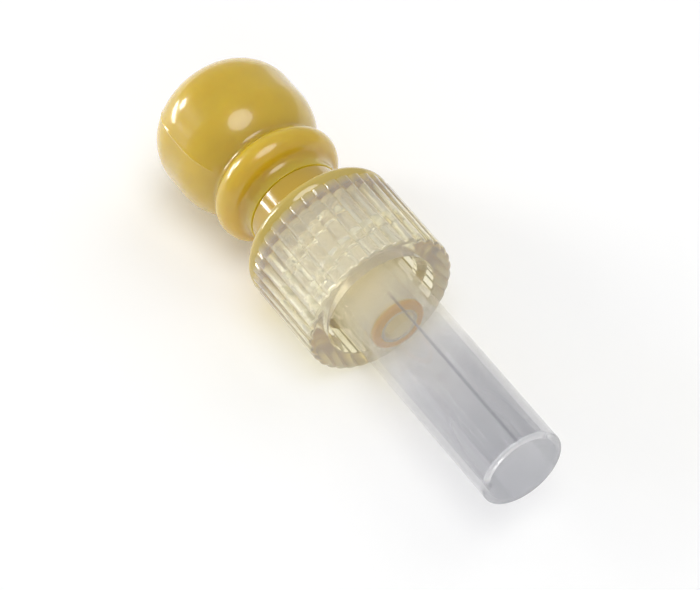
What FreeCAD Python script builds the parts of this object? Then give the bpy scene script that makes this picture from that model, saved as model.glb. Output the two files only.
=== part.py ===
import FreeCAD, Part
import math
import os
import Sketcher

# Infusion plug (injection plug with a male luer lock and a protective sheath), in millimetres.
# Every piece is turned about one long axis. Stations are measured along that axis from the front
# face of the lock collar: plus goes towards the open mouth of the sheath, minus to the latex head.
# The plug lies on its side as it would on a tray, so the axis runs along +X above the floor at Z = 0.

SIZES = {
    # Latex injection bulb: a head with a flat dome, a neck groove, a rolled bead and a short sleeve
    "head_end": (22.45, "distance of the head's far end behind the collar's front face"),
    "dome_radius": (6.6, "radius of the flat dome that the needle goes through"),
    "corner_radius": (2.6, "rounding from the dome to the side of the head"),
    "head_radius": (5.23, "largest radius of the head"),
    "shoulder_start": (17.5, "distance behind the face where the head turns in to the groove"),
    "shoulder_radius": (5.23, "rounding of the head towards the neck groove"),
    "bead_station": (12.74, "distance of the middle of the rolled bead behind the face"),
    "bead_crest": (4.66, "outer radius of the rolled bead"),
    "bead_rounding": (1.17, "radius of the bead's own section"),
    "flank_reach": (0.47, "length in front of the bead over which its flank runs out on the sleeve"),
    "sleeve_radius": (3.45, "outer radius of the sleeve between the bead and the neck flange"),
    "dome_wall": (2.0, "latex that the needle goes through, on the axis"),
    "cavity_radius": (3.6, "radius of the hollow in the head"),
    "cavity_front": (17.2, "distance behind the face where the hollow narrows to the spigot"),
    "latex_gap": (0.02, "gap between the stretched latex and the spigot that it grips"),
    # Spigot that the latex is stretched over
    "spigot_end": (15.6, "distance of the spigot's nose behind the face"),
    "nose_radius": (1.75, "radius of the spigot at its nose"),
    "barb_station": (14.2, "distance of the barb's largest radius behind the face"),
    "barb_radius": (2.6, "largest radius of the barb"),
    "barb_land": (0.35, "length of the barb at its largest radius"),
    "shank_radius": (2.1, "radius of the spigot in front of the barb"),
    # Neck flange, which the sleeve of the bulb meets
    "neck_back": (10.5, "distance of the neck flange's back behind the face"),
    "neck_radius": (3.4, "radius of the neck flange"),
    "neck_chamfer": (0.25, "chamfer of the neck flange's back edge"),
    # Lock collar
    "collar_back": (8.05, "length of the lock collar"),
    "crest_radius": (5.57, "radius over the crests of the grip ribs"),
    "back_slope": (0.55, "slope at the collar's back edge, along the axis and across it"),
    "rib_count": (36, "grip ribs round the collar"),
    "rib_rounding": (0.6, "radius of a rib's own round section"),
    "rib_height": (0.24, "height of the crests over the wall that the ribs stand on"),
    "band_width": (0.95, "smooth band behind the ribs"),
    "band_drop": (0.035, "step down from the crests of the ribs to the smooth band"),
    "thread_root": (4.05, "radius of the collar's bore, at the root of its thread"),
    "collar_depth": (6.5, "depth of the collar, from its front face to its floor"),
    # Internal lock thread with two starts
    "thread_crest": (3.5, "radius inside the crests of the lock thread"),
    "thread_lead": (5.0, "advance of the lock thread in one turn"),
    "thread_starts": (2, "starts of the lock thread"),
    "thread_front": (0.75, "distance behind the face of the middle of the thread's front end"),
    "thread_run": (4.4, "length of the thread along the axis"),
    "thread_half_foot": (0.55, "half the width of the thread where it grows out of the wall"),
    "thread_half_top": (0.22, "half the width of the thread at its crest"),
    "thread_bite": (0.15, "depth to which the thread's section is let into the wall"),
    # Male luer cone
    "tip_reach": (2.1, "how far the luer tip stands out in front of the collar"),
    "tip_radius": (1.975, "radius of the luer cone at its tip"),
    "luer_taper": (0.06, "taper of the luer cone, on its diameter"),
    "tip_chamfer": (0.2, "chamfer of the tip's outer edge"),
    "lumen_radius": (1.1, "radius of the passage through the whole plug"),
    "boss_length": (2.0, "length of the boss at the root of the cone, which holds the sheath"),
    # Protective sheath: a cut length of extruded tube, pushed over the boss
    "sheath_bore": (2.5, "inner radius of the sheath"),
    "sheath_wall": (0.5, "wall of the sheath"),
    "sheath_mouth": (16.2, "distance of the sheath's open mouth in front of the face"),
    "sheath_seat": (0.9, "gap between the sheath's inner end and the collar's floor"),
    "sheath_slip": (0.04, "gap all round between the boss and the sheath, which slides off it"),
    "line_width": (0.24, "width of the fine die line along the outside of the sheath"),
    "line_depth": (0.07, "depth of the die line"),
    "line_turn": (8.5, "turn of the die line about the axis, away from the top"),
}


# The document and its sheet of sizes

doc = FreeCAD.newDocument("infusion_plug")
sheet = doc.addObject("Spreadsheet::Sheet", "Sizes")
for row, (name, (number, meaning)) in enumerate(SIZES.items(), start=1):
    sheet.set("A%d" % row, name)
    sheet.set("B%d" % row, str(number))
    sheet.set("C%d" % row, meaning)
    sheet.setAlias("B%d" % row, name)
doc.recompute()

# The origin is under the middle of the plug's length. The plug lies on the crests of its two lowest
# ribs, one on each side of the bottom, so its axis is a little lower than the crests' radius.
HALF_LENGTH_SHIFT = "(Sizes.head_end - Sizes.sheath_mouth) / 2"
AXIS_HEIGHT = "Sizes.crest_radius * cos(180 deg / Sizes.rib_count)"
# The luer cone meets the boss at the radius that its taper gives there.
CONE_ROOT = ("Sizes.tip_radius + Sizes.luer_taper / 2"
             " * (Sizes.tip_reach + Sizes.collar_depth - Sizes.boss_length)")


def size(name):
    """One number of the sheet."""
    return float(sheet.get(name))


def amount(terms):
    """The value of a sum of sizes, such as "- collar_depth + boss_length"."""
    total = 0.0
    sign = 1.0
    for word in terms.split():
        if word == "-":
            sign = -1.0
        elif word == "+":
            sign = 1.0
        elif word != "0":
            total += sign * size(word)
            sign = 1.0
    return total


def formula(terms):
    """The same sum as an expression on the sheet."""
    return " ".join(word if word in "+-" else "Sizes." + word for word in terms.split())


def new_body(label):
    """A body of its own for one piece, laid along the common axis."""
    body = doc.addObject("PartDesign::Body", label)
    body.Label = label
    body.setExpression("Placement.Base.x", HALF_LENGTH_SHIFT)
    body.setExpression("Placement.Base.z", AXIS_HEIGHT)
    return body


def origin_feature(body, role):
    """An origin plane or axis of the body, by its role."""
    return [item for item in body.Origin.OriginFeatures if item.Role == role][0]


def new_sketch(body, name, role="XZ_Plane"):
    """A sketch on an origin plane of its own body."""
    sketch = body.newObject("Sketcher::SketchObject", name)
    sketch.AttachmentSupport = [(origin_feature(body, role), "")]
    sketch.MapMode = "FlatFace"
    return sketch


def bind(sketch, constraint, expression):
    """Adds a constraint with a value and ties that value to the sheet."""
    index = sketch.addConstraint(constraint)
    sketch.setExpression("Constraints[%d]" % index, expression)


def hold_point(sketch, line, end, along, out, out_formula=None):
    """Holds a point of the sketch at a station and a radius, each a sum of sizes."""
    if along == "0":
        sketch.addConstraint(Sketcher.Constraint("PointOnObject", line, end, -2))
    else:
        held = Sketcher.Constraint("DistanceX", -1, 1, line, end, amount(along))
        bind(sketch, held, formula(along))
    if out == "0":
        sketch.addConstraint(Sketcher.Constraint("PointOnObject", line, end, -1))
    else:
        held = Sketcher.Constraint("DistanceY", -1, 1, line, end, amount(out))
        bind(sketch, held, out_formula or formula(out))


def at(along, out):
    """The point of a sketch at a station and a radius."""
    return FreeCAD.Vector(amount(along), amount(out), 0)


def turned_outline(sketch, corners):
    """A closed outline of straight lines through corners given as sums of sizes."""
    points = [at(corner[0], corner[1]) for corner in corners]
    lines = []
    for first, second in zip(points, points[1:] + points[:1]):
        lines.append(sketch.addGeometry(Part.LineSegment(first, second)))
    for line, following in zip(lines, lines[1:] + lines[:1]):
        sketch.addConstraint(Sketcher.Constraint("Coincident", line, 2, following, 1))
    for line, corner in zip(lines, corners):
        hold_point(sketch, line, 1, *corner)


def turn(body, sketch, kind, name):
    """Turns a sketch once round the long axis, as material or as a hollow."""
    feature = body.newObject("PartDesign::" + kind, name)
    feature.Profile = sketch
    feature.ReferenceAxis = (sketch, ["H_Axis"])
    feature.Angle = 360.0
    doc.recompute()
    return feature


def repeat_about_axis(body, feature, name, count):
    """Repeats a feature evenly round the long axis."""
    pattern = body.newObject("PartDesign::PolarPattern", name)
    pattern.Originals = [feature]
    pattern.Axis = (origin_feature(body, "X_Axis"), [""])
    pattern.Angle = 360.0
    pattern.setExpression("Occurrences", "Sizes." + count)
    body.Tip = pattern
    doc.recompute()
    return pattern


def must_change(before, after, sign, what):
    """A cut has to take material away, and an addition has to bring some."""
    if (after.Shape.Volume - before.Shape.Volume) * sign <= 0:
        raise RuntimeError(what + " changed nothing")


# Luer lock body: spigot, neck flange, ribbed collar, lock thread and luer cone, one clear moulding

lock = new_body("luer_lock_body")
lock_section = new_sketch(lock, "lock_section")
turned_outline(lock_section, [
    ("- spigot_end", "lumen_radius"),
    ("- spigot_end", "nose_radius"),
    ("- barb_station", "barb_radius"),
    ("- barb_station + barb_land", "barb_radius"),
    ("- barb_station + barb_land", "shank_radius"),
    ("- neck_back", "shank_radius"),
    ("- neck_back", "neck_radius - neck_chamfer"),
    ("- neck_back + neck_chamfer", "neck_radius"),
    ("- collar_back", "neck_radius"),
    ("- collar_back", "crest_radius - band_drop - back_slope"),
    ("- collar_back + back_slope", "crest_radius - band_drop"),
    ("- collar_back + band_width", "crest_radius - band_drop"),
    ("- collar_back + band_width", "crest_radius - rib_height"),
    ("0", "crest_radius - rib_height"),
    ("0", "thread_root"),
    ("- collar_depth", "thread_root"),
    ("- collar_depth", "sheath_bore - sheath_slip"),
    ("- collar_depth + boss_length", "sheath_bore - sheath_slip"),
    ("- collar_depth + boss_length", "tip_radius", CONE_ROOT),
    ("tip_reach - tip_chamfer", "tip_radius"),
    ("tip_reach", "tip_radius - tip_chamfer"),
    ("tip_reach", "lumen_radius"),
])
lock_turned = turn(lock, lock_section, "Revolution", "lock_turned")

# One thread ridge winds along the wall of the collar, and the second start is its copy half a turn on.
thread_section = new_sketch(lock, "thread_section")
turned_outline(thread_section, [
    ("- thread_front - thread_run - thread_half_foot", "thread_root + thread_bite"),
    ("- thread_front - thread_run - thread_half_top", "thread_crest"),
    ("- thread_front - thread_run + thread_half_top", "thread_crest"),
    ("- thread_front - thread_run + thread_half_foot", "thread_root + thread_bite"),
])
thread_ridge = lock.newObject("PartDesign::AdditiveHelix", "thread_ridge")
thread_ridge.Profile = thread_section
thread_ridge.ReferenceAxis = (thread_section, ["H_Axis"])
thread_ridge.Mode = "pitch-height-angle"
thread_ridge.setExpression("Pitch", "Sizes.thread_lead")
thread_ridge.setExpression("Height", "Sizes.thread_run")
thread_ridge.LeftHanded = False
thread_ridge.Reversed = False
doc.recompute()
must_change(lock_turned, thread_ridge, 1, "the lock thread")
threads = repeat_about_axis(lock, thread_ridge, "threads", "thread_starts")

# A grip rib is a half-round ridge along the collar. The first stands half a pitch beside the top, so
# that two of them carry the plug when it lies on its side.
rib_section = new_sketch(lock, "rib_section", "YZ_Plane")
rib_section.setExpression("AttachmentOffset.Rotation.Angle", "180 deg / Sizes.rib_count")
rib_middle = amount("crest_radius - rib_rounding")
rib_half = size("rib_rounding")
rib_arc = rib_section.addGeometry(Part.ArcOfCircle(
    Part.Circle(FreeCAD.Vector(0, rib_middle, 0), FreeCAD.Vector(0, 0, 1), rib_half), 0, math.pi))
rib_foot = rib_section.addGeometry(Part.LineSegment(
    FreeCAD.Vector(-rib_half, rib_middle, 0), FreeCAD.Vector(rib_half, rib_middle, 0)))
for constraint in (
        Sketcher.Constraint("Coincident", rib_arc, 2, rib_foot, 1),
        Sketcher.Constraint("Coincident", rib_foot, 2, rib_arc, 1),
        Sketcher.Constraint("PointOnObject", rib_arc, 3, rib_foot),
        Sketcher.Constraint("Horizontal", rib_foot),
        Sketcher.Constraint("PointOnObject", rib_arc, 3, -2)):
    rib_section.addConstraint(constraint)
bind(rib_section, Sketcher.Constraint("Radius", rib_arc, rib_half), "Sizes.rib_rounding")
bind(rib_section, Sketcher.Constraint("DistanceY", -1, 1, rib_arc, 3, rib_middle),
     "Sizes.crest_radius - Sizes.rib_rounding")
rib = lock.newObject("PartDesign::Pad", "rib")
rib.Profile = rib_section
rib.Reversed = True
rib.setExpression("Length", "Sizes.collar_back - Sizes.band_width")
doc.recompute()
must_change(threads, rib, 1, "the first rib")
ribs = repeat_about_axis(lock, rib, "ribs", "rib_count")
must_change(rib, ribs, 1, "the other ribs")


# Injection bulb: amber latex, turned outline with tangent arcs, hollow head, bore that grips the barb

def circle_crossing(first, first_radius, second, second_radius):
    """The upper point that lies at one distance from each of two centres."""
    apart = second - first
    along = (first_radius ** 2 - second_radius ** 2 + apart.Length ** 2) / (2 * apart.Length)
    across = math.sqrt(first_radius ** 2 - along ** 2)
    ahead = FreeCAD.Vector(apart).normalize()
    return first + ahead * along + FreeCAD.Vector(-ahead.y, ahead.x, 0) * across


def tangent_point(outside, centre, radius):
    """The upper point where a line from a point outside touches a circle."""
    middle = (outside + centre) / 2
    return circle_crossing(centre, radius, middle, (outside - centre).Length / 2)


def add_line(sketch, start, end):
    """A straight piece of the outline, with the numbers of its first and last end."""
    return (sketch.addGeometry(Part.LineSegment(start, end)), 1, 2)


def add_arc(sketch, centre, radius, start, end):
    """An arc of the outline, from one point on it to another, the short way round."""
    first = math.atan2(start.y - centre.y, start.x - centre.x)
    last = math.atan2(end.y - centre.y, end.x - centre.x)
    clockwise = (first - last) % (2 * math.pi) < math.pi
    if clockwise:
        first, last = last, first
    circle = Part.Circle(centre, FreeCAD.Vector(0, 0, 1), radius)
    index = sketch.addGeometry(Part.ArcOfCircle(circle, first, last))
    # the ends of an arc count anticlockwise, so the first point of a clockwise one is its end
    return (index, 2, 1) if clockwise else (index, 1, 2)


bulb = new_body("injection_bulb")
bulb_section = new_sketch(bulb, "bulb_section")
dome_centre = at("- head_end + dome_radius", "0")
corner_out = amount("head_radius - corner_radius")
corner_reach = math.sqrt(amount("dome_radius - corner_radius") ** 2 - corner_out ** 2)
corner_centre = FreeCAD.Vector(dome_centre.x - corner_reach, corner_out, 0)
towards_corner = (corner_centre - dome_centre).normalize()
corner_start = dome_centre + towards_corner * size("dome_radius")
side_start = corner_centre + FreeCAD.Vector(0, size("corner_radius"), 0)
side_end = at("- shoulder_start", "head_radius")
shoulder_centre = at("- shoulder_start", "head_radius - shoulder_radius")
bead_centre = at("- bead_station", "bead_crest - bead_rounding")
valley = circle_crossing(shoulder_centre, size("shoulder_radius"),
                         bead_centre, size("bead_rounding"))
bead_foot = at("- bead_station + bead_rounding + flank_reach", "sleeve_radius")
bead_end = tangent_point(bead_foot, bead_centre, size("bead_rounding"))
sleeve_end = at("- neck_back", "sleeve_radius")
far_point = at("- head_end", "0")
near_point = at("- neck_back", "0")

dome = add_arc(bulb_section, dome_centre, size("dome_radius"), far_point, corner_start)
corner = add_arc(bulb_section, corner_centre, size("corner_radius"), corner_start, side_start)
side = add_line(bulb_section, side_start, side_end)
shoulder = add_arc(bulb_section, shoulder_centre, size("shoulder_radius"), side_end, valley)
bead = add_arc(bulb_section, bead_centre, size("bead_rounding"), valley, bead_end)
flank = add_line(bulb_section, bead_end, bead_foot)
sleeve = add_line(bulb_section, bead_foot, sleeve_end)
front = add_line(bulb_section, sleeve_end, near_point)
spine = add_line(bulb_section, near_point, far_point)
for before, after in ((dome, corner), (corner, side), (side, shoulder), (bead, flank)):
    bulb_section.addConstraint(
        Sketcher.Constraint("Tangent", before[0], before[2], after[0], after[1]))
for before, after in ((shoulder, bead), (flank, sleeve), (sleeve, front), (front, spine),
                      (spine, dome)):
    bulb_section.addConstraint(
        Sketcher.Constraint("Coincident", before[0], before[2], after[0], after[1]))
bulb_section.addConstraint(Sketcher.Constraint("Horizontal", side[0]))
bulb_section.addConstraint(Sketcher.Constraint("PointOnObject", dome[0], 3, -1))
for arc, name in ((dome, "dome_radius"), (corner, "corner_radius"), (shoulder, "shoulder_radius"),
                  (bead, "bead_rounding")):
    bind(bulb_section, Sketcher.Constraint("Radius", arc[0], size(name)), "Sizes." + name)
hold_point(bulb_section, spine[0], 2, "- head_end", "0")
hold_point(bulb_section, side[0], 2, "- shoulder_start", "head_radius")
hold_point(bulb_section, bead[0], 3, "- bead_station", "bead_crest - bead_rounding")
hold_point(bulb_section, sleeve[0], 1, "- bead_station + bead_rounding + flank_reach", "sleeve_radius")
hold_point(bulb_section, sleeve[0], 2, "- neck_back", "sleeve_radius")
hold_point(bulb_section, spine[0], 1, "- neck_back", "0")
bulb_turned = turn(bulb, bulb_section, "Revolution", "bulb_turned")

# The hollow runs from under the dome to the mouth of the sleeve, and follows the spigot with its barb.
hollow_section = new_sketch(bulb, "hollow_section")
turned_outline(hollow_section, [
    ("- head_end + dome_wall", "0"),
    ("- head_end + dome_wall", "cavity_radius"),
    ("- cavity_front", "cavity_radius"),
    ("- spigot_end - latex_gap", "nose_radius + latex_gap"),
    ("- barb_station - latex_gap", "barb_radius + latex_gap"),
    ("- barb_station + barb_land + latex_gap", "barb_radius + latex_gap"),
    ("- barb_station + barb_land + latex_gap", "shank_radius + latex_gap"),
    ("- neck_back", "shank_radius + latex_gap"),
    ("- neck_back", "0"),
])
bulb_bored = turn(bulb, hollow_section, "Groove", "bulb_bored")
must_change(bulb_turned, bulb_bored, -1, "the hollow of the bulb")


# Protective sheath: a plain cut length of tube with one fine line that the die left along it

sheath = new_body("protective_sheath")
sheath_section = new_sketch(sheath, "sheath_section")
turned_outline(sheath_section, [
    ("- collar_depth + sheath_seat", "sheath_bore"),
    ("- collar_depth + sheath_seat", "sheath_bore + sheath_wall"),
    ("sheath_mouth", "sheath_bore + sheath_wall"),
    ("sheath_mouth", "sheath_bore"),
])
sheath_tube = turn(sheath, sheath_section, "Revolution", "sheath_tube")

# The line is a shallow V along the whole tube, a little to one side of the top.
line_section = new_sketch(sheath, "line_section", "YZ_Plane")
line_section.setExpression("AttachmentOffset.Rotation.Angle", "Sizes.line_turn")
surface = amount("sheath_bore + sheath_wall")
line_deep = FreeCAD.Vector(0, surface - size("line_depth"), 0)
line_left = FreeCAD.Vector(-size("line_width"), surface + size("line_depth"), 0)
line_right = FreeCAD.Vector(size("line_width"), surface + size("line_depth"), 0)
for first, second in ((line_deep, line_left), (line_left, line_right), (line_right, line_deep)):
    line_section.addGeometry(Part.LineSegment(first, second))
for line in range(3):
    line_section.addConstraint(Sketcher.Constraint("Coincident", line, 2, (line + 1) % 3, 1))
line_section.addConstraint(Sketcher.Constraint("PointOnObject", 0, 1, -2))
line_section.addConstraint(Sketcher.Constraint("Symmetric", 1, 1, 1, 2, -2))
SURFACE = "Sizes.sheath_bore + Sizes.sheath_wall"
bind(line_section, Sketcher.Constraint("DistanceY", -1, 1, 0, 1, line_deep.y),
     SURFACE + " - Sizes.line_depth")
bind(line_section, Sketcher.Constraint("DistanceY", -1, 1, 1, 2, line_right.y),
     SURFACE + " + Sizes.line_depth")
bind(line_section, Sketcher.Constraint("DistanceX", 1, 1, 1, 2, 2 * line_right.x),
     "2 * Sizes.line_width")
die_line = sheath.newObject("PartDesign::Pocket", "die_line")
die_line.Profile = line_section
die_line.Type = "ThroughAll"
die_line.SideType = "Symmetric"
doc.recompute()
must_change(sheath_tube, die_line, -1, "the die line")


# Checks of the document, then one file for each piece

doc.recompute()
for item in doc.Objects:
    if "Invalid" in item.State or "Error" in item.State:
        raise RuntimeError(item.Label + " failed: " + ", ".join(item.State))
os.makedirs("parts", exist_ok=True)
for body in (lock, bulb, sheath):
    shape = body.Shape
    if shape.isNull() or not shape.isValid() or len(shape.Solids) != 1:
        raise RuntimeError(body.Label + " is not one valid solid")
    shape.exportStep("parts/" + body.Label + ".step")
    print(body.Label, "volume", round(shape.Volume, 2), "faces", len(shape.Faces))
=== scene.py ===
import math

import bpy
import bmesh
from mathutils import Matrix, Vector


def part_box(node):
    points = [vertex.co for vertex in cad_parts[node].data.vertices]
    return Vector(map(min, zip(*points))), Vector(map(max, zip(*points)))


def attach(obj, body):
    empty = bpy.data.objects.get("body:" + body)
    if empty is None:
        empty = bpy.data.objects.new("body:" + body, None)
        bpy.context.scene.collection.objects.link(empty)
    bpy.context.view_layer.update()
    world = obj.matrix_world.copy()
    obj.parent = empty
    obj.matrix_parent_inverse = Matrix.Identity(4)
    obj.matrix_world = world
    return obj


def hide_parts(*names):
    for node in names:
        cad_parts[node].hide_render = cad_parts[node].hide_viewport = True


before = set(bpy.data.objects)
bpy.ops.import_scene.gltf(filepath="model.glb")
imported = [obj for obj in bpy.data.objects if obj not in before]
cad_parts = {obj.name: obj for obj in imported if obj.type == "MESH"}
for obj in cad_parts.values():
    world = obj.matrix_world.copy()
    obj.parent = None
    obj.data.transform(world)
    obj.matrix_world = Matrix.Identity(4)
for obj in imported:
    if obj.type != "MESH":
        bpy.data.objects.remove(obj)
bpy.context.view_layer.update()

bl_info = {
    "name": "Infusion plug",
    "version": (1, 0, 0),
    "blender": (4, 5, 0),
    "location": "3D Viewport > Sidebar > Infusion plug",
    "description": "Builds an infusion plug: latex bulb, luer lock body, pull-off sheath and studio",
    "category": "Object",
}

# Stations are measured along the plug's long axis from the front face of the lock collar, plus towards
# the open mouth of the sheath. Angles turn about that axis from +Y towards +Z.
MM = 0.001
SHEATH_REACH = 16.2 * MM  # from the collar's front face to the sheath's mouth
SLIP = 0.02 * MM  # room between the latex and the spigot inside it
FLOOR_SIDE = 1.2  # metres
SENSOR_WIDTH = 36.0  # mm
CAMERA_TARGET = (1.25 * MM, -1.245 * MM)
LAMP_AIM = -5.0 * MM

# Lamps besides the overhead softbox: name, azimuth, elevation, distance, width, height, watts, and
# whether its own shape shows in the gloss of the surfaces
LAMPS = (
    ("left_lamp", -55, 20, 0.5, 0.13, 0.10, 0.52, True),
    ("left_low_strip", -54, 4.5, 0.5, 0.26, 0.075, 0.68, True),
    ("left_fill", -75, 30, 0.6, 0.45, 0.45, 0.35, False),
    ("front_fill", 60, 18, 0.6, 0.45, 0.45, 0.35, False),
    ("back_right_softbox", 192, 48, 0.6, 0.45, 0.45, 0.65, False),
)


def axis_height():
    """Height of the long axis over the floor, from the sheath of the CAD frame."""
    low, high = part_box("protective_sheath")
    return (low.z + high.z) / 2


def face_position():
    """Where the collar's front face lies along the row frame's X."""
    low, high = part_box("protective_sheath")
    return high.x - SHEATH_REACH


def length(name, description, millimetres):
    """A length of the object, set in metres and shown in the scene's own unit."""
    return bpy.props.FloatProperty(name=name, description=description, default=millimetres * MM,
                                   unit="LENGTH", precision=5, step=0.01)


def turn(name, description, degrees):
    """An angle of the object."""
    return bpy.props.FloatProperty(name=name, description=description,
                                   default=math.radians(degrees), subtype="ANGLE")


def share(name, description, value, high=1.0):
    """A plain factor."""
    return bpy.props.FloatProperty(name=name, description=description, default=value,
                                   min=0.0, soft_max=high, subtype="FACTOR")


def tone(name, description, code):
    """A colour, given as the hex code that a screen shows."""
    return bpy.props.FloatVectorProperty(name=name, description=description, size=4,
                                         subtype="COLOR", min=0.0, max=1.0,
                                         default=linear(code))


def linear(code):
    """The linear colour of an sRGB hex code."""
    channels = [int(code[place:place + 2], 16) / 255 for place in (1, 3, 5)]
    return [c / 12.92 if c <= 0.04045 else ((c + 0.055) / 1.055) ** 2.4 for c in channels] + [1.0]


class PLUG_PG_bulb(bpy.types.PropertyGroup):
    """Latex injection bulb"""
    head_end: length("Head end", "Distance of the head's far end behind the face", 22.45)
    dome_radius: length("Dome radius", "Radius of the flat dome", 8.2)
    corner_radius: length("Corner radius", "Rounding from the dome to the side", 3.3)
    head_radius: length("Head radius", "Largest radius of the head", 5.225)
    shoulder_start: length("Shoulder start", "Where the head turns in to the groove", 17.03)
    shoulder_radius: length("Shoulder radius", "Rounding of the head towards the groove", 3.97)
    valley_radius: length("Groove radius", "Fillet at the bottom of the groove", 0.45)
    bead_station: length("Bead station", "Middle of the rolled bead behind the face", 12.74)
    bead_crest: length("Bead crest", "Outer radius of the rolled bead", 4.66)
    bead_rounding: length("Bead rounding", "Radius of the bead's own section", 1.17)
    flank_radius: length("Flank radius", "Fillet from the bead to the sleeve", 0.7)
    sleeve_radius: length("Sleeve radius", "Outer radius of the short sleeve", 3.45)
    sleeve_end: length("Sleeve end", "Where the sleeve meets the neck flange", 10.52)
    dome_wall: length("Dome wall", "Latex that the needle goes through", 2.0)
    cavity_radius: length("Hollow radius", "Radius of the hollow in the head", 3.6)
    cavity_front: length("Hollow front", "Where the hollow narrows to the spigot", 17.2)
    line_angle: turn("Parting line", "Turn of the mould's parting line about the axis", 154.0)
    line_height: length("Parting line height", "Height of the parting line", 0.055)
    line_width: length("Parting line width", "Half the width of the parting line", 0.07)
    colour: tone("Latex colour", "Colour of the amber latex", "#c8a926")
    sleeve_colour: tone("Sleeve colour", "Colour of the thin latex sleeve", "#cdaa20")


class PLUG_PG_lock(bpy.types.PropertyGroup):
    """Luer lock body"""
    spigot_end: length("Spigot end", "Nose of the spigot behind the face", 15.6)
    nose_radius: length("Nose radius", "Radius of the spigot at its nose", 1.75)
    barb_station: length("Barb station", "Largest radius of the barb behind the face", 14.2)
    barb_radius: length("Barb radius", "Largest radius of the barb", 2.6)
    shank_radius: length("Shank radius", "Radius of the spigot in front of the barb", 2.1)
    neck_back: length("Neck back", "Back of the neck flange behind the face", 10.5)
    neck_radius: length("Neck radius", "Radius of the neck flange", 3.4)
    collar_back: length("Collar back", "Back of the lock collar behind the face", 8.05)
    back_rounding: length("Back rounding", "Rounding of the collar's back edge", 0.73)
    crest_radius: length("Crest radius", "Radius over the grip ribs", 5.565)
    band_radius: length("Band radius", "Radius of the smooth band behind the ribs", 5.53)
    band_width: length("Band width", "Smooth band behind the ribs", 1.05)
    rib_depth: length("Rib depth", "Depth of the grooves between the ribs", 0.18)
    rib_end: length("Rib end", "Length over which a rib fades at its front end", 0.3)
    rib_count: bpy.props.IntProperty(name="Ribs", description="Grip ribs round the collar",
                                     default=36, min=8)
    rib_angle: turn("Rib turn", "Turn of the first rib about the axis", 5.0)
    thread_root: length("Thread root", "Radius of the collar's bore", 4.05)
    collar_depth: length("Collar depth", "Depth of the collar", 6.5)
    thread_crest: length("Thread crest", "Radius inside the thread's crests", 3.5)
    thread_lead: length("Thread lead", "Advance of the thread in one turn", 5.0)
    thread_front: length("Thread front", "Front end of the thread behind the face", 0.75)
    thread_run: length("Thread run", "Length of the thread along the axis", 4.4)
    thread_half_foot: length("Thread foot", "Half the width of the thread at its foot", 0.55)
    thread_half_top: length("Thread top", "Half the width of the thread at its crest", 0.22)
    thread_angle: turn("Thread start", "Turn at which the first start begins", 90.0)
    boss_radius: length("Boss radius", "Radius of the boss that holds the sheath", 2.46)
    boss_length: length("Boss length", "Length of the boss", 2.0)
    tip_reach: length("Tip reach", "How far the luer tip stands out of the collar", 2.1)
    tip_radius: length("Tip radius", "Radius of the luer cone at its tip", 1.975)
    luer_taper: share("Luer taper", "Taper of the luer cone on its diameter", 0.06)
    lumen_radius: length("Passage radius", "Radius of the passage", 1.1)
    colour: tone("Plastic cast", "Colour that light takes on in the clear plastic", "#f2e894")
    absorption: share("Cast strength", "How fast the plastic takes colour out of light, per mm", 0.16)
    # Painted light: the amber of the latex's light, painted into the clear neck's colour
    painted_amber_light: tone("Piped amber", "Amber of the latex that shows in the neck", "#bf9c26")
    # Painted glow: amber painted into the outer edge of the luer tip
    tip: tone("Tip amber", "Amber that gathers in the edge of the luer tip", "#c89000")


class PLUG_PG_sheath(bpy.types.PropertyGroup):
    """Protective sheath"""
    bore: length("Bore", "Inner radius of the sheath", 2.5)
    wall: length("Wall", "Wall of the sheath", 0.5)
    mouth: length("Mouth", "Open mouth in front of the face", 16.19)
    back: length("Back", "Inner end of the sheath behind the face", 5.6)
    rim_rounding: length("Rim rounding", "Rounding of the cut edges", 0.15)
    line_angle: turn("Die line", "Turn of the die line about the axis", 98.5)
    line_width: length("Die line width", "Half the width of the die line", 0.17)
    line_depth: length("Die line depth", "Depth of the die line", 0.07)
    # Painted highlight: the cut end is painted white on this side, and painted grey as shade elsewhere
    painted_rim_highlight_angle: turn("Cut", "Turn of the side where the blade whitened the cut edge", 112.0)
    burr_angle: turn("Burr", "Turn of the burr that the blade left in the mouth", 183.0)
    burr_height: length("Burr height", "How far the burr stands into the mouth", 0.28)
    colour: tone("Tube colour", "Colour of the hazy tube", "#c2c2c6")
    # Painted light: the tube is painted paler and warmer inside the collar, where light through the clear
    # collar falls
    painted_warm_light_colour: tone("Warm colour", "Colour of the tube inside the collar", "#eee8d6")
    # Die line colour, also used for the painted shade in the mouth and on the cut end's far side
    line_and_shade_colour: tone("Die line colour", "Colour of the die line", "#8a8c92")
    # Colour of the painted highlight on the cut end
    painted_rim_highlight_colour: tone("Cut colour", "Colour of the cut end", "#f6f6f8")


class PLUG_PG_stage(bpy.types.PropertyGroup):
    """Studio and camera"""
    camera_turn: turn("Camera azimuth", "Turn of the camera round the object", 56.99)
    camera_rise: turn("Camera elevation", "Height of the camera over the horizon", 49.33)
    camera_distance: length("Camera distance", "Distance of the camera from its target", 257.1)
    lens: bpy.props.FloatProperty(name="Lens", description="Focal length of the camera in mm",
                                  default=202.5, min=1.0)
    floor_colour: tone("Floor colour", "Colour of the white sweep", "#fafafa")
    floor_glow: share("Floor glow", "Own light of the floor", 0.07)
    seen_glow: share("Floor seen through", "Own light of the floor seen through the plastics", 0.35)
    room_light: share("Room light", "Light of the room from all sides", 0.36)
    room_mirrored: share("Room mirrored", "Light of the room in the gloss of the surfaces", 0.5)
    room_seen: share("Room seen", "Light of the room behind the floor and through the plastics", 0.88)
    box_light: bpy.props.FloatProperty(name="Overhead light", description="Power of the overhead "
                                       "softbox in watts", default=1.0, min=0.0, subtype="POWER")


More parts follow.
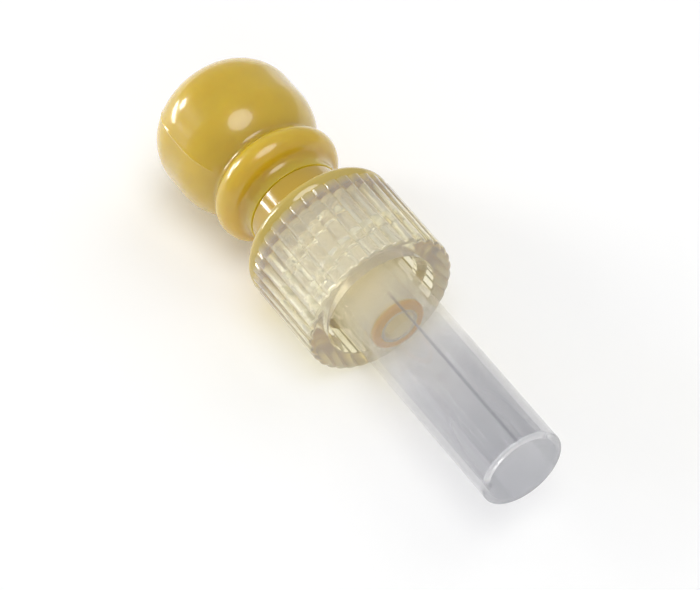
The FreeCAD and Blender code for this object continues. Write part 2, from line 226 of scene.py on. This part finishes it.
SETTINGS = {"plug_bulb": PLUG_PG_bulb, "plug_lock": PLUG_PG_lock,
            "plug_sheath": PLUG_PG_sheath, "plug_stage": PLUG_PG_stage}


# Outlines: lists of points (station, radius) in the plane of the axis

def arc(centre, radius, start, end, steps):
    """Points on a circle from one angle to another, both in radians."""
    return [(centre[0] + radius * math.cos(start + (end - start) * i / steps),
             centre[1] + radius * math.sin(start + (end - start) * i / steps))
            for i in range(steps + 1)]


def rounded(corners, steps=5):
    """An open outline through corners (station, radius, rounding), with its corners rounded."""
    points = []
    for place, corner in enumerate(corners):
        here = Vector(corner[:2])
        rounding = corner[2] if len(corner) > 2 else 0.0
        if rounding == 0.0 or place in (0, len(corners) - 1):
            points.append(tuple(here))
            continue
        back = (Vector(corners[place - 1][:2]) - here).normalized()
        ahead = (Vector(corners[place + 1][:2]) - here).normalized()
        half = back.angle(ahead) / 2
        reach = rounding / math.tan(half)
        centre = here + (back + ahead).normalized() * (rounding / math.sin(half))
        first = here + back * reach - centre
        last = here + ahead * reach - centre
        begin = math.atan2(first.y, first.x)
        sweep = (math.atan2(last.y, last.x) - begin + math.pi) % (2 * math.pi) - math.pi
        points += arc(centre, rounding, begin, begin + sweep, steps)
    return points


def filled_in(points, step):
    """The same outline with points added so that none are further apart than the step."""
    out = [points[0]]
    for first, last in zip(points, points[1:]):
        gap = math.dist(first, last)
        parts = max(1, math.ceil(gap / step - 1e-6))
        out += [(first[0] + (last[0] - first[0]) * i / parts,
                 first[1] + (last[1] - first[1]) * i / parts) for i in range(1, parts + 1)]
    return out


def even_turns(count, extra=()):
    """Angles all round the axis, with extra ones where a fine detail needs them."""
    return sorted([2 * math.pi * i / count for i in range(count)]
                  + [angle % (2 * math.pi) for angle in extra])


def turned(name, outline, angles, relief=None, tint=None, looped=False):
    """A closed mesh turned about the long axis.

    The relief adds to the radius at a station and angle, and the tint is kept with the points for the
    material to read."""
    face, height = face_position(), axis_height()
    points, tints, rows, faces = [], [], [], []
    for station, radius in outline:
        if radius < 1e-7:
            rows.append([len(points)] * len(angles))
            points.append((face + station, 0.0, height))
            tints.append(tint(station, 0.0, 0.0) if tint else 0.0)
            continue
        rows.append(range(len(points), len(points) + len(angles)))
        for angle in angles:
            out = radius + (relief(station, angle, radius) if relief else 0.0)
            points.append((face + station, out * math.cos(angle), height + out * math.sin(angle)))
            tints.append(tint(station, angle, radius) if tint else 0.0)
    pairs = list(zip(rows, rows[1:])) + ([(rows[-1], rows[0])] if looped else [])
    for near, far in pairs:
        for place in range(len(angles)):
            after = (place + 1) % len(angles)
            corners = [near[place], near[after], far[after], far[place]]
            corners = list(dict.fromkeys(corners))
            if len(corners) > 2:
                faces.append(corners)
    mesh = bpy.data.meshes.new(name)
    mesh.from_pydata(points, [], faces)
    work = bmesh.new()
    work.from_mesh(mesh)
    bmesh.ops.recalc_face_normals(work, faces=work.faces)
    work.to_mesh(mesh)
    work.free()
    mesh.shade_smooth()
    mesh.set_sharp_from_angle(angle=math.radians(40))
    if tint:
        mesh.attributes.new("tint", "FLOAT", "POINT").data.foreach_set("value", tints)
    if not mesh.validate():
        mesh.update()
    piece = bpy.data.objects.new(name, mesh)
    bpy.context.scene.collection.objects.link(piece)
    return piece


def meeting(first, first_radius, second, second_radius):
    """The upper point at one distance from each of two centres."""
    first, second = Vector(first), Vector(second)
    apart = (second - first).length
    along = (first_radius ** 2 - second_radius ** 2 + apart ** 2) / (2 * apart)
    ahead = (second - first) / apart
    return first + ahead * along + Vector((-ahead.y, ahead.x)) * math.sqrt(first_radius ** 2 - along ** 2)


def bearing(centre, point):
    """Angle at which a point is seen from a centre."""
    return math.atan2(point[1] - centre[1], point[0] - centre[0])


# Materials

def node(tree, kind, inputs=(), stops=(), **settings):
    """Adds a node. Inputs are given by name or place, as a value or as the output that feeds them, and
    the stops of a colour ramp as (place, colour)."""
    made = tree.nodes.new(kind)
    for name, value in settings.items():
        setattr(made, name, value)
    for socket, value in dict(inputs).items():
        if isinstance(value, bpy.types.NodeSocket):
            tree.links.new(value, made.inputs[socket])
        else:
            made.inputs[socket].default_value = value
    while stops and len(made.color_ramp.elements) < len(stops):
        made.color_ramp.elements.new(0.5)
    for number, (place, colour) in enumerate(stops):
        made.color_ramp.elements[number].position = place
        made.color_ramp.elements[number].color = colour
    return made


def new_material(name):
    """An empty material with its output node."""
    material = bpy.data.materials.new(name)
    material.use_nodes = True
    material.node_tree.nodes.clear()
    return material, material.node_tree, material.node_tree.nodes.new("ShaderNodeOutputMaterial")


def per(millimetres):
    """The scale of a pattern whose grain has this size."""
    return 1 / (millimetres * MM)


def let_light_through(tree, shader, code):
    """Lets light pass a clear plastic on its way to what is behind, with a little of its colour."""
    path = node(tree, "ShaderNodeLightPath")
    clear = node(tree, "ShaderNodeBsdfTransparent", {"Color": linear(code)})
    return node(tree, "ShaderNodeMixShader", {0: path.outputs["Is Shadow Ray"], 1: shader,
                                              2: clear.outputs[0]}).outputs[0]


def amber_latex(settings):
    """Moulded natural latex: light goes in and comes out amber, under a wet-looking moulded skin."""
    # Cloudiness in patches of 4 mm, and a skin that is uneven over 2.4 mm, which wavers the highlights
    material, tree, output = new_material("amber_latex")
    place = node(tree, "ShaderNodeTexCoord").outputs["Object"]
    cloud = node(tree, "ShaderNodeTexNoise",
                 {"Vector": place, "Scale": per(3.85), "Detail": 3.0, "Roughness": 0.5})
    base = Vector(settings.colour[:3])
    clouded = node(tree, "ShaderNodeValToRGB", {0: cloud.outputs["Fac"]},
                   stops=[(0.3, [*(base * 0.94), 1.0]), (0.7, [*(base * 1.06), 1.0])])
    sleeve = node(tree, "ShaderNodeAttribute", attribute_name="tint").outputs["Fac"]
    light = node(tree, "ShaderNodeMix",
                 {"Factor": sleeve, 6: clouded.outputs[0], 7: settings.sleeve_colour},
                 data_type="RGBA").outputs[2]
    skin = node(tree, "ShaderNodeTexNoise",
                {"Vector": place, "Scale": per(2.38), "Detail": 2.0, "Roughness": 0.5})
    bump = node(tree, "ShaderNodeBump",
                {"Height": skin.outputs["Fac"], "Strength": 0.04, "Distance": 0.0002})
    shader = node(tree, "ShaderNodeBsdfPrincipled", {
        "Base Color": light,
        "Roughness": 0.26,
        "IOR": 1.52,
        "Subsurface Weight": 1.0,
        "Subsurface Radius": (1.0, 0.80, 0.18),
        "Subsurface Scale": 0.0035,
        "Coat Weight": 0.8,
        "Coat Roughness": 0.08,
        "Coat IOR": 1.5,
        "Normal": bump.outputs["Normal"],
        "Coat Normal": bump.outputs["Normal"],
    }, subsurface_method="RANDOM_WALK")
    tree.links.new(shader.outputs[0], output.inputs["Surface"])
    return material


def clear_polycarbonate(settings):
    """Injection-moulded clear plastic: glassy, with a yellow cast that deepens with its thickness."""
    # The melt's flow leaves the skin uneven over 2 mm. Painted light: amber is painted into the neck, the
    # collar's back edge and the outer edge of the luer tip, where the latex's light would show through
    # the clear plastic.
    material, tree, output = new_material("clear_polycarbonate")
    place = node(tree, "ShaderNodeTexCoord").outputs["Object"]
    flow = node(tree, "ShaderNodeTexNoise",
                {"Vector": place, "Scale": per(2.0), "Detail": 2.0, "Roughness": 0.5})
    bump = node(tree, "ShaderNodeBump",
                {"Height": flow.outputs["Fac"], "Strength": 0.15, "Distance": 0.0002})
    painted_amber_light = node(tree, "ShaderNodeAttribute", attribute_name="tint").outputs["Fac"]
    painted_amber_colour = node(tree, "ShaderNodeValToRGB", {0: painted_amber_light},
                 stops=[(0.0, linear("#ffffff")), (0.3, linear("#e4d070")),
                        (0.6, settings.painted_amber_light), (1.0, settings.tip)])
    clear = node(tree, "ShaderNodeMapRange",
                 {"Value": painted_amber_light, "From Max": 0.6, "To Min": 0.82, "To Max": 0.08})
    shader = node(tree, "ShaderNodeBsdfPrincipled", {
        "Base Color": painted_amber_colour.outputs[0],
        "Roughness": 0.14,
        "IOR": 1.585,
        "Transmission Weight": clear.outputs[0],
        "Coat Weight": 0.7,
        "Coat Roughness": 0.03,
        "Normal": bump.outputs["Normal"],
    })
    cast = node(tree, "ShaderNodeVolumeAbsorption",
                {"Color": settings.colour, "Density": settings.absorption / MM})
    surface = let_light_through(tree, shader.outputs[0], "#e0ddd2")
    tree.links.new(surface, output.inputs["Surface"])
    tree.links.new(cast.outputs[0], output.inputs["Volume"])
    return material


def hazy_tube(settings):
    """Extruded PVC tube: light comes through blurred and grey, with faint streaks along the draw."""
    # The streaks are 0.7 mm wide and 17 mm long
    material, tree, output = new_material("extruded_pvc_tube")
    place = node(tree, "ShaderNodeTexCoord").outputs["Object"]
    drawn = node(tree, "ShaderNodeMapping",
                 {"Vector": place, "Scale": (per(16.7), per(0.714), per(0.714))})
    streak = node(tree, "ShaderNodeTexNoise",
                  {"Vector": drawn.outputs[0], "Scale": 1.0, "Detail": 2.0, "Roughness": 0.5})
    rough = node(tree, "ShaderNodeMapRange",
                 {"Value": streak.outputs["Fac"], "To Min": 0.05, "To Max": 0.1})
    # Painted light: the tube turns paler and warmer towards the collar's face, where light through the
    # collar falls
    face = face_position()
    along = node(tree, "ShaderNodeSeparateXYZ", {0: place}).outputs["X"]
    inward = node(tree, "ShaderNodeMapRange",
                  {"Value": along, "From Min": face, "From Max": face + 5.0 * MM})
    painted_warm_grey = node(tree, "ShaderNodeValToRGB", {0: inward.outputs[0]},
                stops=[(0.0, settings.painted_warm_light_colour), (1.0, settings.colour)])
    # The tint holds the die line and the painted shade in the mouth and on the cut end (positive), and
    # the cut end's painted highlight (negative)
    line_and_painted_light = node(tree, "ShaderNodeAttribute", attribute_name="tint").outputs["Fac"]
    line_and_painted_shade = node(tree, "ShaderNodeMix", {"Factor": line_and_painted_light, 6: painted_warm_grey.outputs[0],
                                          7: settings.line_and_shade_colour}, data_type="RGBA")
    # Painted highlight: negative tint paints the cut end white
    painted_rim_highlight = node(tree, "ShaderNodeMath", {0: line_and_painted_light, 1: -1.0}, operation="MULTIPLY", use_clamp=True)
    painted_tube_colour = node(tree, "ShaderNodeMix", {"Factor": painted_rim_highlight.outputs[0], 6: line_and_painted_shade.outputs[2],
                                          7: settings.painted_rim_highlight_colour}, data_type="RGBA")
    dense = node(tree, "ShaderNodeMath", {0: line_and_painted_light}, operation="ABSOLUTE")
    # A hazy tube looks clearest where something nearly touches it from inside, as the luer tip does
    hazy, fair = (0.42, 0.42, 0.42, 1.0), (0.2, 0.2, 0.2, 1.0)
    near_tip = node(tree, "ShaderNodeMapRange",
                    {"Value": along, "From Min": face, "From Max": face + 8.0 * MM})
    haze = node(tree, "ShaderNodeValToRGB", {0: near_tip.outputs[0]},
                stops=[(0.2, hazy), (0.34, fair), (0.62, fair), (0.85, hazy)])
    solid = node(tree, "ShaderNodeMapRange",
                 {"Value": dense.outputs[0], "To Min": haze.outputs[0], "To Max": 0.85})
    clear = node(tree, "ShaderNodeBsdfPrincipled", {
        "Base Color": painted_tube_colour.outputs[2],
        "Roughness": rough.outputs[0],
        "IOR": 1.46,
        "Specular IOR Level": 1.0,
        "Transmission Weight": 0.4,
        "Alpha": solid.outputs[0],
    })
    surface = let_light_through(tree, clear.outputs[0], "#e8e8e9")
    tree.links.new(surface, output.inputs["Surface"])
    return material


def white_sweep(settings):
    """White photo paper, lit so that it is white in the picture and keeps a soft shadow."""
    material, tree, output = new_material("white_sweep")
    path = node(tree, "ShaderNodeLightPath")
    through = node(tree, "ShaderNodeMapRange",
                   {"Value": path.outputs["Is Transmission Ray"],
                    "To Min": settings.floor_glow, "To Max": settings.seen_glow})
    paper = node(tree, "ShaderNodeBsdfDiffuse", {"Color": settings.floor_colour})
    glow = node(tree, "ShaderNodeEmission",
                {"Color": (1.0, 1.0, 1.0, 1.0), "Strength": through.outputs[0]})
    both = node(tree, "ShaderNodeAddShader", {0: paper.outputs[0], 1: glow.outputs[0]})
    tree.links.new(both.outputs[0], output.inputs["Surface"])
    return material


# Pieces

def bulb_outline(s):
    """Outer outline of the bulb from the dome's pole to the end of the sleeve, then its hollow back."""
    dome = (-s.head_end + s.dome_radius, 0.0)
    out = s.head_radius - s.corner_radius
    corner = (dome[0] - math.sqrt((s.dome_radius - s.corner_radius) ** 2 - out ** 2), out)
    turn_in = bearing(dome, corner)
    shoulder = (-s.shoulder_start, s.head_radius - s.shoulder_radius)
    bead = (-s.bead_station, s.bead_crest - s.bead_rounding)
    valley = meeting(shoulder, s.shoulder_radius + s.valley_radius,
                     bead, s.bead_rounding + s.valley_radius)
    valley_start = bearing(valley, shoulder)
    valley_end = bearing(valley, bead)
    outside = arc(dome, s.dome_radius, math.pi, turn_in, 20)
    outside += arc(corner, s.corner_radius, turn_in, math.pi / 2, 24)[1:]
    outside += arc(shoulder, s.shoulder_radius, math.pi / 2, bearing(shoulder, valley), 22)
    outside += arc(valley, s.valley_radius, valley_start, valley_end, 10)[1:]
    rise = s.sleeve_radius + s.flank_radius - bead[1]
    flank = (bead[0] + math.sqrt((s.bead_rounding + s.flank_radius) ** 2 - rise ** 2), bead[1] + rise)
    outside += arc(bead, s.bead_rounding, bearing(bead, valley), bearing(bead, flank), 24)[1:]
    outside += arc(flank, s.flank_radius, bearing(flank, bead), -math.pi / 2, 8)[1:]
    outside += rounded([outside[-1], (-s.sleeve_end, s.sleeve_radius, 0.06 * MM),
                        (-s.sleeve_end, 2.3 * MM)])[1:]
    lock = bpy.context.scene.plug_lock
    inside = rounded([
        (-s.sleeve_end, lock.shank_radius + SLIP),
        (-lock.barb_station + 0.4 * MM, lock.shank_radius + SLIP),
        (-lock.barb_station + 0.4 * MM, lock.barb_radius + SLIP),
        (-lock.barb_station - SLIP, lock.barb_radius + SLIP),
        (-lock.spigot_end - SLIP, lock.nose_radius + SLIP),
        (-s.cavity_front, s.cavity_radius, 0.5 * MM),
        (-s.head_end + s.dome_wall, s.cavity_radius, 1.2 * MM),
        (-s.head_end + s.dome_wall, 0.0)])
    return outside + inside


def build_bulb():
    """The latex injection bulb, which replaces its plain CAD form."""
    s = bpy.context.scene.plug_bulb
    offsets = [math.radians(step) for step in (-1.6, -1.1, -0.7, -0.35, 0.35, 0.7, 1.1, 1.6)]
    extra = [s.line_angle + side + off for side in (0.0, math.pi) for off in [0.0] + offsets]

    def parting(station, angle, radius):
        if station > -14.6 * MM or radius < 1.0 * MM:
            return 0.0
        aside = abs((angle - s.line_angle + math.pi / 2) % math.pi - math.pi / 2) * radius
        inside = station > -s.head_end + s.dome_wall - 0.1 * MM and radius < s.cavity_radius + 0.1 * MM
        return 0.0 if inside else s.line_height * math.exp(-(aside / s.line_width) ** 2)

    def thin(station, angle, radius):
        return min(1.0, max(0.0, (station + s.bead_station - 1.1 * MM) / (0.5 * MM)))

    piece = turned("latex_bulb", bulb_outline(s), even_turns(160, extra), parting, thin)
    piece.data.materials.append(amber_latex(s))
    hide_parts("injection_bulb")
    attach(piece, "plug")


def lock_outline(s):
    """Outline of the luer lock body: spigot, neck, collar, bore, boss, cone and passage."""
    root = s.tip_radius + s.luer_taper / 2 * (s.tip_reach + s.collar_depth - s.boss_length)
    floor = -s.collar_depth
    rib_start = -s.collar_back + s.band_width
    outside = rounded([
        (-s.spigot_end, s.lumen_radius),
        (-s.spigot_end, s.nose_radius, 0.15 * MM),
        (-s.barb_station, s.barb_radius, 0.1 * MM),
        (-s.barb_station + 0.35 * MM, s.barb_radius, 0.05 * MM),
        (-s.barb_station + 0.35 * MM, s.shank_radius, 0.05 * MM),
        (-s.neck_back, s.shank_radius, 0.1 * MM),
        (-s.neck_back, s.neck_radius, 0.12 * MM),
        (-s.collar_back, s.neck_radius, 0.15 * MM),
        (-s.collar_back, s.band_radius, s.back_rounding),
        (rib_start, s.band_radius)])
    ribs = filled_in([(rib_start, s.band_radius), (rib_start + 0.12 * MM, s.crest_radius)], 0.04 * MM)[1:]
    ribs += filled_in([ribs[-1], (-0.55 * MM, s.crest_radius)], 0.9 * MM)[1:]
    ribs += filled_in([ribs[-1], (-0.2 * MM, s.crest_radius)], 0.07 * MM)[1:]
    front = arc((-0.2 * MM, s.crest_radius - 0.2 * MM), 0.2 * MM, math.pi / 2, 0.0, 5)[1:]
    front += rounded([(0.0, s.crest_radius - 0.5 * MM), (0.0, s.thread_root, 0.12 * MM),
                      (-0.3 * MM, s.thread_root)])
    bore = filled_in([front[-1], (floor, s.thread_root)], 0.075 * MM)[1:]
    inside = rounded([
        (floor, s.thread_root - 0.05 * MM),
        (floor, s.boss_radius, 0.2 * MM),
        (floor + s.boss_length, s.boss_radius, 0.1 * MM),
        (floor + s.boss_length, root, 0.1 * MM),
        (s.tip_reach - 0.45 * MM, s.tip_radius + s.luer_taper / 2 * 0.45 * MM),
        (s.tip_reach, s.tip_radius, 0.2 * MM),
        (s.tip_reach, 1.45 * MM),
        (s.tip_reach, 1.35 * MM),
        (s.tip_reach, s.lumen_radius, 0.1 * MM),
        (-s.spigot_end + 0.2 * MM, s.lumen_radius)])
    return outside + ribs + front + bore + inside


def build_lock():
    """The clear luer lock body, which replaces its plain CAD form."""
    s = bpy.context.scene.plug_lock
    pitch = 2 * math.pi / s.rib_count
    outer_wall = (s.thread_root + s.crest_radius) / 2
    rib_start = -s.collar_back + s.band_width

    def ribs(station, angle):
        ends = min(1.0, max(0.0, (station - rib_start) / (0.12 * MM)))
        ends *= math.sqrt(max(0.0, 1.0 - max(0.0, 1.0 + (station + 0.02 * MM) / s.rib_end) ** 2))
        across = abs(((angle - s.rib_angle) / pitch + 0.5) % 1.0 - 0.5) * 2
        return -s.rib_depth * (1.0 - ends * (1.0 - across ** 2.4)) if station > rib_start else 0.0

    def thread(station, angle):
        raised = 0.0
        for start in (0.0, math.pi):
            along = ((angle - s.thread_angle - start) % (2 * math.pi)) / (2 * math.pi)
            middle = -s.thread_front - s.thread_run + along * s.thread_lead
            left = min(along * s.thread_lead, s.thread_run - along * s.thread_lead)
            end = min(1.0, max(0.0, left / (0.45 * MM)))
            off = abs(station - middle)
            flank = (s.thread_half_foot - off) / (s.thread_half_foot - s.thread_half_top)
            raised = max(raised, min(1.0, max(0.0, flank)) * math.sqrt(end * (2 - end)))
        return -raised * (s.thread_root - s.thread_crest)

    def relief(station, angle, radius):
        if rib_start < station < 1e-9 and radius > outer_wall:
            return ribs(station, angle)
        if -s.collar_depth < station < -0.1 * MM and abs(radius - s.thread_root) < 0.01 * MM:
            return thread(station, angle)
        return 0.0

    # Painted light: amber painted into the neck, fading into the collar's back edge, and into the luer
    # tip's outer edge
    def painted_amber_light(station, angle, radius):
        if station < -s.collar_back + 0.05 * MM:
            return 0.6
        if station > s.tip_reach - 0.21 * MM:
            return 1.0 if radius > 1.4 * MM else 0.1
        return min(0.4, max(0.0, 0.6 * (-s.collar_back + 2.2 * MM - station) / (2.2 * MM)))

    piece = turned("luer_lock", lock_outline(s), even_turns(12 * s.rib_count), relief, painted_amber_light, looped=True)
    piece.data.materials.append(clear_polycarbonate(s))
    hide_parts("luer_lock_body")
    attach(piece, "plug")


def build_sheath():
    """The protective sheath, which replaces its plain CAD form."""
    s = bpy.context.scene.plug_sheath
    outer = s.bore + s.wall
    outline = rounded([
        (-s.back, s.bore + s.wall / 2),
        (-s.back, outer, s.rim_rounding),
        (1.2 * MM, outer),
        (2.0 * MM, outer),
        (s.mouth - 0.3 * MM, outer),
        (s.mouth, outer, s.rim_rounding),
        (s.mouth, s.bore, s.rim_rounding),
        (s.mouth - 0.3 * MM, s.bore),
        (4.0 * MM, s.bore),
        (-s.back, s.bore, s.rim_rounding),
        (-s.back, s.bore + s.wall / 2 - 0.01 * MM)], 4)
    offsets = [step * s.line_width / outer for step in (-1.5, -1.0, -0.6, -0.3, 0.0, 0.3, 0.6, 1.0, 1.5)]

    def die_line(angle):
        return max(0.0, 1.0 - abs(angle - s.line_angle) * outer / s.line_width)

    def relief(station, angle, radius):
        if radius > s.bore + s.wall * 0.7:
            return -s.line_depth * die_line(angle)
        if station > s.mouth - 0.2 * MM:
            return -s.burr_height * math.exp(-((angle - s.burr_angle) / math.radians(5.0)) ** 2)
        return 0.0

    # Painted light and shade: the cut end is painted white as a highlight on one side and grey as shade
    # elsewhere, and the inner wall is painted darker towards the mouth; the die line is darker along its
    # length
    def sheath_marks_and_painted_light(station, angle, radius):
        if station > s.mouth - 0.16 * MM:
            off = abs(angle - s.painted_rim_highlight_angle) / math.radians(75.0)
            painted_highlight = min(1.0, max(0.0, (1.0 - off) * 3.0))
            return 0.75 - 1.69 * painted_highlight
        if radius < s.bore + s.wall * 0.3:
            return 0.75 * min(1.0, max(0.0, (station - 4.0 * MM) / (s.mouth - 4.3 * MM)))
        ahead = min(1.0, max(0.0, (station - 1.2 * MM) / (0.8 * MM)))
        return die_line(angle) * ahead

    piece = turned("sheath_tube", outline, even_turns(180, [s.line_angle + off for off in offsets]),
                   relief, sheath_marks_and_painted_light, looped=True)
    piece.data.materials.append(hazy_tube(s))
    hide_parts("protective_sheath")
    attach(piece, "sheath")


def direction(azimuth, elevation):
    """Unit vector from the object towards an azimuth and elevation in degrees."""
    turned_by, raised_by = math.radians(azimuth), math.radians(elevation)
    return Vector((math.sin(turned_by) * math.cos(raised_by),
                   -math.cos(turned_by) * math.cos(raised_by), math.sin(raised_by)))


def add_lamp(name, azimuth, elevation, distance, width, height, power, aim):
    """An oval soft lamp that looks at the object."""
    lamp = bpy.data.lights.new(name, "AREA")
    lamp.shape = "ELLIPSE"
    lamp.size, lamp.size_y = width, height
    lamp.energy = power
    placed = bpy.data.objects.new(name, lamp)
    bpy.context.scene.collection.objects.link(placed)
    placed.location = aim + direction(azimuth, elevation) * distance
    placed.rotation_euler = direction(azimuth, elevation).to_track_quat("Z", "Y").to_euler()
    return placed


def build_stage():
    """White sweep, soft studio light and the camera of the photo."""
    s = bpy.context.scene.plug_stage
    scene = bpy.context.scene
    side = FLOOR_SIDE / 2
    mesh = bpy.data.meshes.new("floor")
    mesh.from_pydata([(-side, -side, 0), (side, -side, 0), (side, side, 0), (-side, side, 0)], [],
                     [(0, 1, 2, 3)])
    floor = bpy.data.objects.new("floor", mesh)
    scene.collection.objects.link(floor)
    floor.data.materials.append(white_sweep(s))

    aim = Vector((LAMP_AIM, 0.0, axis_height()))
    add_lamp("overhead_softbox", 70, 76, 0.5, 0.34, 0.34, s.box_light, aim)
    for *placing, power, mirrored in LAMPS:
        add_lamp(*placing, power, aim).visible_glossy = mirrored

    world = bpy.data.worlds.new("studio")
    scene.world = world
    world.use_nodes = True
    tree = world.node_tree
    tree.nodes.clear()
    path = node(tree, "ShaderNodeLightPath")
    in_gloss = node(tree, "ShaderNodeMapRange",
                    {"Value": path.outputs["Is Glossy Ray"],
                     "To Min": s.room_seen, "To Max": s.room_mirrored})
    strength = node(tree, "ShaderNodeMapRange",
                    {"Value": path.outputs["Is Diffuse Ray"],
                     "To Min": in_gloss.outputs[0], "To Max": s.room_light})
    room = node(tree, "ShaderNodeBackground",
                {"Color": (1.0, 1.0, 1.0, 1.0), "Strength": strength.outputs[0]})
    node(tree, "ShaderNodeOutputWorld", {"Surface": room.outputs[0]})

    lens = bpy.data.cameras.new("photo_camera")
    lens.lens = s.lens
    lens.sensor_width = SENSOR_WIDTH
    lens.clip_start, lens.clip_end = 0.01, 5.0
    camera = bpy.data.objects.new("photo_camera", lens)
    scene.collection.objects.link(camera)
    target = Vector((*CAMERA_TARGET, axis_height()))
    back = direction(math.degrees(s.camera_turn), math.degrees(s.camera_rise))
    camera.location = target + back * s.camera_distance
    camera.rotation_euler = back.to_track_quat("Z", "Y").to_euler()
    scene.camera = camera
    scene.view_settings.view_transform = "Standard"


def checked(build, made):
    """Runs one build, and raises when it leaves no object behind."""
    build()
    if made not in bpy.data.objects:
        raise RuntimeError(made + " was not made")
    return {"FINISHED"}


class PLUG_OT_bulb(bpy.types.Operator):
    """Build the latex injection bulb"""
    bl_idname = "plug.build_bulb"
    bl_label = "Build the latex bulb"

    def execute(self, context):
        return checked(build_bulb, "latex_bulb")


class PLUG_OT_lock(bpy.types.Operator):
    """Build the clear luer lock body"""
    bl_idname = "plug.build_lock"
    bl_label = "Build the luer lock body"

    def execute(self, context):
        return checked(build_lock, "luer_lock")


class PLUG_OT_sheath(bpy.types.Operator):
    """Build the protective sheath"""
    bl_idname = "plug.build_sheath"
    bl_label = "Build the sheath"

    def execute(self, context):
        return checked(build_sheath, "sheath_tube")


class PLUG_OT_stage(bpy.types.Operator):
    """Build the white sweep, the lamps and the camera"""
    bl_idname = "plug.build_stage"
    bl_label = "Build the studio"

    def execute(self, context):
        return checked(build_stage, "photo_camera")


OPERATORS = (PLUG_OT_bulb, PLUG_OT_lock, PLUG_OT_sheath, PLUG_OT_stage)


class PLUG_PT_panel(bpy.types.Panel):
    """Sizes and build buttons of the infusion plug"""
    bl_label = "Infusion plug"
    bl_idname = "PLUG_PT_panel"
    bl_space_type = "VIEW_3D"
    bl_region_type = "UI"
    bl_category = "Infusion plug"

    def draw(self, context):
        for (group, kind), operator in zip(SETTINGS.items(), OPERATORS):
            box = self.layout.box()
            box.label(text=kind.__doc__)
            for name in kind.__annotations__:
                box.prop(getattr(context.scene, group), name)
            box.operator(operator.bl_idname)


def register():
    for name, kind in SETTINGS.items():
        bpy.utils.register_class(kind)
        setattr(bpy.types.Scene, name, bpy.props.PointerProperty(type=kind))
    for kind in (*OPERATORS, PLUG_PT_panel):
        bpy.utils.register_class(kind)


def unregister():
    for kind in reversed((*OPERATORS, PLUG_PT_panel)):
        bpy.utils.unregister_class(kind)
    for name, kind in SETTINGS.items():
        delattr(bpy.types.Scene, name)
        bpy.utils.unregister_class(kind)


def main():
    register()
    bpy.ops.plug.build_bulb()
    bpy.ops.plug.build_lock()
    bpy.ops.plug.build_sheath()
    bpy.ops.plug.build_stage()


if __name__ == "__main__":
    main()
